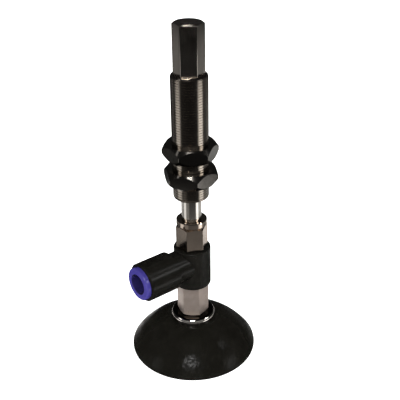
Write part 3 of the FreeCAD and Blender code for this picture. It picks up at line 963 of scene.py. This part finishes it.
@dataclass
class PaleFloor:
    """The pale floor, which sweeps up into a wall far from the object.

    Attributes:
        radii: Radii of the floor's rings, the last where the sweep starts.
        sweep: Radius of the sweep.
        sweep_steps: Chords of the sweep.
        wall: Height of the wall.
        sunk: How far the floor lies under the object.
        segments: Segments round the floor.
        clouds: Size of the faint clouds in the paper.
        tones: Noise with the paper's brightness there.
        roughness: The paper's roughness.
        glow: How much light the paper gives by itself.
    """

    radii: tuple[float, ...] = (0.001, 0.1, 0.3, 0.9)
    sweep: float = 0.35
    sweep_steps: int = 16
    wall: float = 1.6
    sunk: float = 0.02 * MM
    segments: int = 96
    clouds: float = 0.2
    tones: Levels = ((0.3, 0.9), (0.7, 0.93))
    roughness: float = 0.9
    glow: float = 0.7

    def _paper(self) -> bpy.types.Material:
        """Makes the paper.

        Returns:
            The material.
        """
        made = bpy.data.materials.new("pale_paper")
        made.use_nodes = True
        graph = Graph(made.node_tree)
        where = graph.add("ShaderNodeTexCoord").outputs["Object"]
        shader = graph.add(
            "ShaderNodeBsdfPrincipled",
            Base_Color=graph.ramp(graph.noise(where, self.clouds), tinted(self.tones)),
            Roughness=self.roughness,
            Specular_IOR_Level=0.0,
            Emission_Color=(*GREY, 1.0),
            Emission_Strength=self.glow,
        )
        graph.add("ShaderNodeOutputMaterial", Surface=shader.outputs["BSDF"])
        return made

    def lay(self) -> bpy.types.Object:
        """Builds the floor, which the shiny pieces don't mirror.

        Returns:
            The floor.
        """
        reach = self.radii[-1]
        outline = [(radius, 0.0) for radius in self.radii]
        outline += arc((reach, self.sweep), self.sweep, -90, 0, self.sweep_steps)
        outline.append((reach + self.sweep, self.wall))
        mesh = bmesh.new()
        lathe(mesh, outline, self.segments, closed=False)
        floor = new_piece("pale_floor", mesh)
        floor.location.z = -self.sunk
        floor.visible_glossy = False
        floor.data.materials.append(self._paper())
        return floor


@dataclass(frozen=True)
class FloorSheet:
    """A pale round sheet on the floor that only the shiny pieces see.

    Attributes:
        name: The sheet's name.
        degrees: Where its middle lies, in degrees to the right of the camera.
        away: Its middle's distance from the axis.
        reach: Its radius.
        levels: Shares of the radius, each with the brightness there.
        skew: How far to the right the sheet's bright side is turned, in degrees.
        behind: Cosine of the angle to that side from which the sheet fades, under -1 for none.
        fade: Difference in that cosine over which it fades.
        eye: Radius of the hole in its middle.
        sunk: How far it lies under the object.
        segments: Segments round the sheet.
    """

    name: str
    degrees: float
    away: float
    reach: float
    levels: Levels
    skew: float = 0.0
    behind: float = -2.0
    fade: float = 0.25
    eye: float = 1.0 * MM
    sunk: float = 0.01 * MM
    segments: int = 64

    def _shine(self, bright_side: float) -> bpy.types.Material:
        """Makes the sheet's light, which lets everything behind it through.

        Args:
            bright_side: Angle of the sheet's bright side round its middle, in radians.

        Returns:
            The material.
        """
        made = bpy.data.materials.new(self.name)
        made.use_nodes = True
        graph = Graph(made.node_tree)
        where = graph.add("ShaderNodeTexCoord").outputs["Object"]
        length = graph.add("ShaderNodeVectorMath", operation="LENGTH")
        graph.feed(length.inputs[0], where)
        out = length.outputs["Value"]
        ahead = graph.along(where, at_angle(1.0, bright_side, 0.0))
        cosine = graph.maths("DIVIDE", ahead, out)
        tone = graph.ramp(graph.maths("DIVIDE", out, self.reach), tinted(self.levels, SHEET_TINT))
        before = graph.ranged(cosine, self.behind - self.fade, self.behind)
        glow = graph.add("ShaderNodeEmission", Color=tone, Strength=before)
        clear = graph.add("ShaderNodeBsdfTransparent")
        both = graph.add("ShaderNodeAddShader")
        graph.feed(both.inputs[0], glow.outputs["Emission"])
        graph.feed(both.inputs[1], clear.outputs["BSDF"])
        graph.add("ShaderNodeOutputMaterial", Surface=both.outputs["Shader"])
        return made

    def lay(self, bearing: float) -> bpy.types.Object:
        """Builds the sheet.

        Args:
            bearing: Where the camera stands, in degrees round the axis.

        Returns:
            The sheet.
        """
        mesh = bmesh.new()
        lathe(mesh, [(self.eye, 0.0), (self.reach, 0.0)], self.segments, closed=False)
        sheet = new_piece(self.name, mesh)
        turn = math.radians(bearing + self.degrees)
        sheet.location = at_angle(self.away, turn, -self.sunk)
        sheet.visible_camera = sheet.visible_diffuse = sheet.visible_shadow = False
        sheet.data.materials.append(self._shine(turn + math.radians(self.skew)))
        return sheet


@dataclass(frozen=True)
class Lamp:
    """A soft lamp that points at the middle of the object.

    Attributes:
        name: The lamp's name.
        degrees: Angle to the right of the camera, in degrees.
        rise: Angle above the floor, in degrees.
        size: Width and height of the lamp.
        power: Its power in watts.
        middle: Height of the object's middle.
        away: Distance from there.
    """

    name: str
    degrees: float
    rise: float
    size: Pair
    power: float
    middle: float = 60.0 * MM
    away: float = 0.8

    def hang(self, bearing: float) -> bpy.types.Object:
        """Adds the lamp.

        Args:
            bearing: Where the camera stands, in degrees round the axis.

        Returns:
            The lamp.
        """
        turn, lift = math.radians(bearing + self.degrees), math.radians(self.rise)
        toward = at_angle(math.cos(lift), turn, math.sin(lift))
        data = bpy.data.lights.new(self.name, "AREA")
        data.shape = "RECTANGLE"
        data.size, data.size_y = self.size
        data.energy = self.power
        lamp = bpy.data.objects.new(self.name, data)
        lamp.location = Vector((0.0, 0.0, self.middle)) + toward * self.away
        lamp.rotation_euler = toward.to_track_quat("Z", "Y").to_euler()
        lamp.visible_camera = False
        bpy.context.collection.objects.link(lamp)
        return lamp


@dataclass
class Room:
    """The room's soft light, as the pieces see it in every direction.

    Angles are in degrees to the right of the camera, each with the brightness there. Heights are
    the upward share of a direction of length 1, and a pair of them is where a light starts to show
    and where it shows in full.

    Attributes:
        bearing: Where the camera stands, in degrees round the axis.
        low_glow: Faint light below the skyline.
        low_heights: Heights over which the faint light rises.
        low_least: What is left of it at the first of them.
        streaks: Lights low at both sides, which give the barrel its streaks.
        streak_heights: Heights of the streaks.
        patch: A light low at the back on the right.
        patch_heights: Heights of the patch.
        rims: Lights at the back, which brighten the rod's edges.
        rim_top: Heights at which they end upwards.
        rim_foot: Heights at which they end downwards.
        deep: Brightness below all of these.
        deep_heights: Heights over which the floor goes from deep to the faint light.
        back: How far behind the object the floor's edge starts to rise, and has risen.
        back_lift: How much higher that edge is at the back.
        wall: Heights with the brightness of the wall behind the camera.
        wall_ahead: How far towards the camera that wall starts, and is in full.
        ceiling: Brightness of everything above the skyline.
        strips: Tall bright strips at both sides.
        strip_heights: Heights with the strips' strength.
        skyline: Heights over which the lower half goes over into the upper half.
        strength: Strength of it all.
    """

    bearing: float
    low_glow: Levels = (
        (-180, 0.015), (-150, 0.03), (-131, 0.05), (-124, 0.1), (-117, 0.1), (-109, 0.028),
        (-98, 0.03), (-88, 0.05), (-68, 0.05), (-57, 0.03), (-40, 0.014), (-12, 0.011),
        (14, 0.011), (40, 0.02), (60, 0.04), (87, 0.06), (112, 0.06), (118, 0.1),
        (124, 0.1), (130, 0.05), (155, 0.03), (180, 0.015),
    )
    low_heights: Pair = (-0.14, -0.22)
    low_least: float = 0.15
    streaks: Levels = (
        (-98, 0.0), (-88, 0.6), (-68, 0.6), (-57, 0.0),
        (48, 0.0), (60, 1.11), (80, 1.11), (88, 0.0),
    )
    streak_heights: Pair = (-0.305, -0.335)
    patch: Levels = ((126, 0.0), (132, 0.2), (146, 0.2), (153, 0.0))
    patch_heights: Pair = (-0.3, -0.36)
    rims: Levels = ((-180, 0.32), (-108, 0.28), (-92, 0.0), (80, 0.0), (94, 0.34), (180, 0.4))
    rim_top: Pair = (-0.445, -0.457)
    rim_foot: Pair = (-0.498, -0.488)
    deep: float = 0.01
    deep_heights: Pair = (-0.54, -0.49)
    back: Pair = (-0.3, -0.6)
    back_lift: float = 0.08
    wall: Levels = ((0.05, 0.0), (0.12, 0.16), (0.4, 0.16), (0.58, 0.0))
    wall_ahead: Pair = (0.2, 0.7)
    ceiling: float = 0.012
    strips: Levels = (
        (-85, 0.0), (-80, 2.4), (-67, 2.4), (-62, 0.0),
        (60, 0.0), (64, 4.5), (80, 4.5), (86, 0.0),
    )
    strip_heights: Levels = ((0.34, 0.0), (0.38, 1.0), (0.48, 1.0), (0.52, 0.0))
    skyline: Pair = (0.02, 0.1)
    strength: float = 2.0

    def _around(self, graph: Graph, turn: Socket, levels: Levels) -> Socket:
        """Light by the angle to the right of the camera, from angles with their brightness."""
        places = tuple(((degrees + 180.0) / 360.0, level) for degrees, level in levels)
        return graph.ramp(turn, tinted(places, ROOM_TINT))

    def _lower_half(self, graph: Graph, turn: Socket, rise: Socket, ahead: Socket) -> Socket:
        """Light from below the skyline.

        Args:
            graph: The world's graph.
            turn: Share of a full turn round the axis.
            rise: Upward share of the direction.
            ahead: The direction's share towards the camera.

        Returns:
            The light's socket.
        """
        low = self._around(graph, turn, self.low_glow)
        for levels, heights in (
            (self.streaks, self.streak_heights), (self.patch, self.patch_heights),
        ):
            light = self._around(graph, turn, levels)
            shown = graph.maths("MULTIPLY", light, graph.ranged(rise, *heights))
            low = graph.maths("ADD", low, shown)
        level = graph.ranged(rise, *self.low_heights, low=self.low_least)
        low = graph.maths("MULTIPLY", low, level)
        lifted = graph.ranged(ahead, *self.back, high=self.back_lift)
        from_deep = graph.ranged(graph.maths("SUBTRACT", rise, lifted), *self.deep_heights)
        below = graph.mixed(from_deep, (self.deep, self.deep, self.deep, 1.0), low)
        rims = self._around(graph, turn, self.rims)
        over, until = graph.ranged(rise, *self.rim_top), graph.ranged(rise, *self.rim_foot)
        at_rod = graph.maths("MULTIPLY", over, until)
        return graph.maths("ADD", below, graph.maths("MULTIPLY", rims, at_rod))

    def _upper_half(self, graph: Graph, turn: Socket, rise: Socket, ahead: Socket) -> Socket:
        """Light from above the skyline.

        Args:
            graph: The world's graph.
            turn: Share of a full turn round the axis.
            rise: Upward share of the direction.
            ahead: The direction's share towards the camera.

        Returns:
            The light's socket.
        """
        wall = graph.ramp(rise, tinted(self.wall))
        wall = graph.maths("MULTIPLY", wall, graph.ranged(ahead, *self.wall_ahead))
        upper = graph.maths("ADD", wall, self.ceiling)
        strips = self._around(graph, turn, self.strips)
        strips = graph.maths("MULTIPLY", strips, graph.ramp(rise, tinted(self.strip_heights)))
        return graph.maths("ADD", upper, strips)

    def light(self) -> bpy.types.World:
        """Makes the world from its lower and its upper half.

        Returns:
            The world.
        """
        world = bpy.data.worlds.new("studio")
        bpy.context.scene.world = world
        world.use_nodes = True
        graph = Graph(world.node_tree)
        where = graph.add("ShaderNodeTexCoord").outputs["Generated"]
        bearing = math.radians(self.bearing)
        ahead = graph.along(where, Vector((math.cos(bearing), math.sin(bearing), 0.0)))
        aside = graph.along(where, Vector((-math.sin(bearing), math.cos(bearing), 0.0)))
        turn = graph.ranged(graph.maths("ARCTAN2", aside, ahead), -math.pi, math.pi)
        rise = graph.add("ShaderNodeSeparateXYZ", Vector=where).outputs["Z"]
        colour = graph.mixed(
            graph.ranged(rise, *self.skyline),
            self._lower_half(graph, turn, rise, ahead),
            self._upper_half(graph, turn, rise, ahead),
        )
        background = graph.add("ShaderNodeBackground", Color=colour, Strength=self.strength)
        graph.add("ShaderNodeOutputWorld", Surface=background.outputs["Background"])
        return world


@dataclass
class Studio:
    """Camera, floor and light.

    Attributes:
        bearing: Where the camera stands, in degrees round the axis from +X.
        sheets: The sheets on the floor.
        lamps: The lamps.
    """

    bearing: float = 232.0
    sheets: tuple[FloorSheet, ...] = (
        FloorSheet("near_sheet", degrees=0.0, away=0.0, reach=0.15, skew=8.0, behind=0.0, levels=(
            (0.0, 0.14), (0.28, 0.16), (0.38, 0.22), (0.5, 0.2),
            (0.62, 0.16), (0.79, 0.075), (0.93, 0.02), (1.0, 0.0),
        )),
        FloorSheet("left_sheet", degrees=-42.0, away=0.122, reach=0.05, levels=(
            (0.0, 0.22), (0.5, 0.18), (1.0, 0.0),
        )),
        FloorSheet("corner_sheet", degrees=-127.0, away=0.034, reach=0.018, levels=(
            (0.0, 1.2), (0.7, 1.1), (1.0, 0.0),
        )),
        FloorSheet("side_sheet", degrees=100.0, away=0.037, reach=0.016, levels=(
            (0.0, 0.78), (0.7, 0.7), (1.0, 0.0),
        )),
        FloorSheet("right_sheet", degrees=141.0, away=0.09, reach=0.03, levels=(
            (0.0, 0.8), (0.6, 0.75), (1.0, 0.0),
        )),
    )
    lamps: tuple[Lamp, ...] = (
        Lamp("front_lamp", degrees=-6, rise=45, size=(0.24, 0.07), power=5.0),
        Lamp("left_lamp", degrees=-66, rise=40, size=(0.1, 0.1), power=0.02),
        Lamp("right_lamp", degrees=83, rise=43, size=(0.05, 0.05), power=0.28),
    )

    def build(self) -> None:
        """Builds the camera, the floor and the light."""
        LOG.info("%s", StudioCamera(self.bearing).place().name)
        LOG.info("%s", PaleFloor().lay().name)
        for sheet in self.sheets:
            LOG.info("%s", sheet.lay(self.bearing).name)
        LOG.info("%s", Room(self.bearing).light().name)
        for lamp in self.lamps:
            LOG.info("%s", lamp.hang(self.bearing).name)
        bpy.context.scene.view_settings.view_transform = "Standard"


def main() -> None:
    """Builds the looks in order."""
    logging.basicConfig(level=logging.INFO, format="%(message)s")
    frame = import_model()
    palette = Palette()
    TurnedPieces(palette, frame["nodes"]).dress()
    LOG.info("%s", SuctionCup(palette).rubber().name)
    LOG.info("%s", BufferBarrel(palette).threaded().name)
    LOG.info("%s", BufferSpring(palette).coil().name)
    Studio().build()


if __name__ == "__main__":
    main()
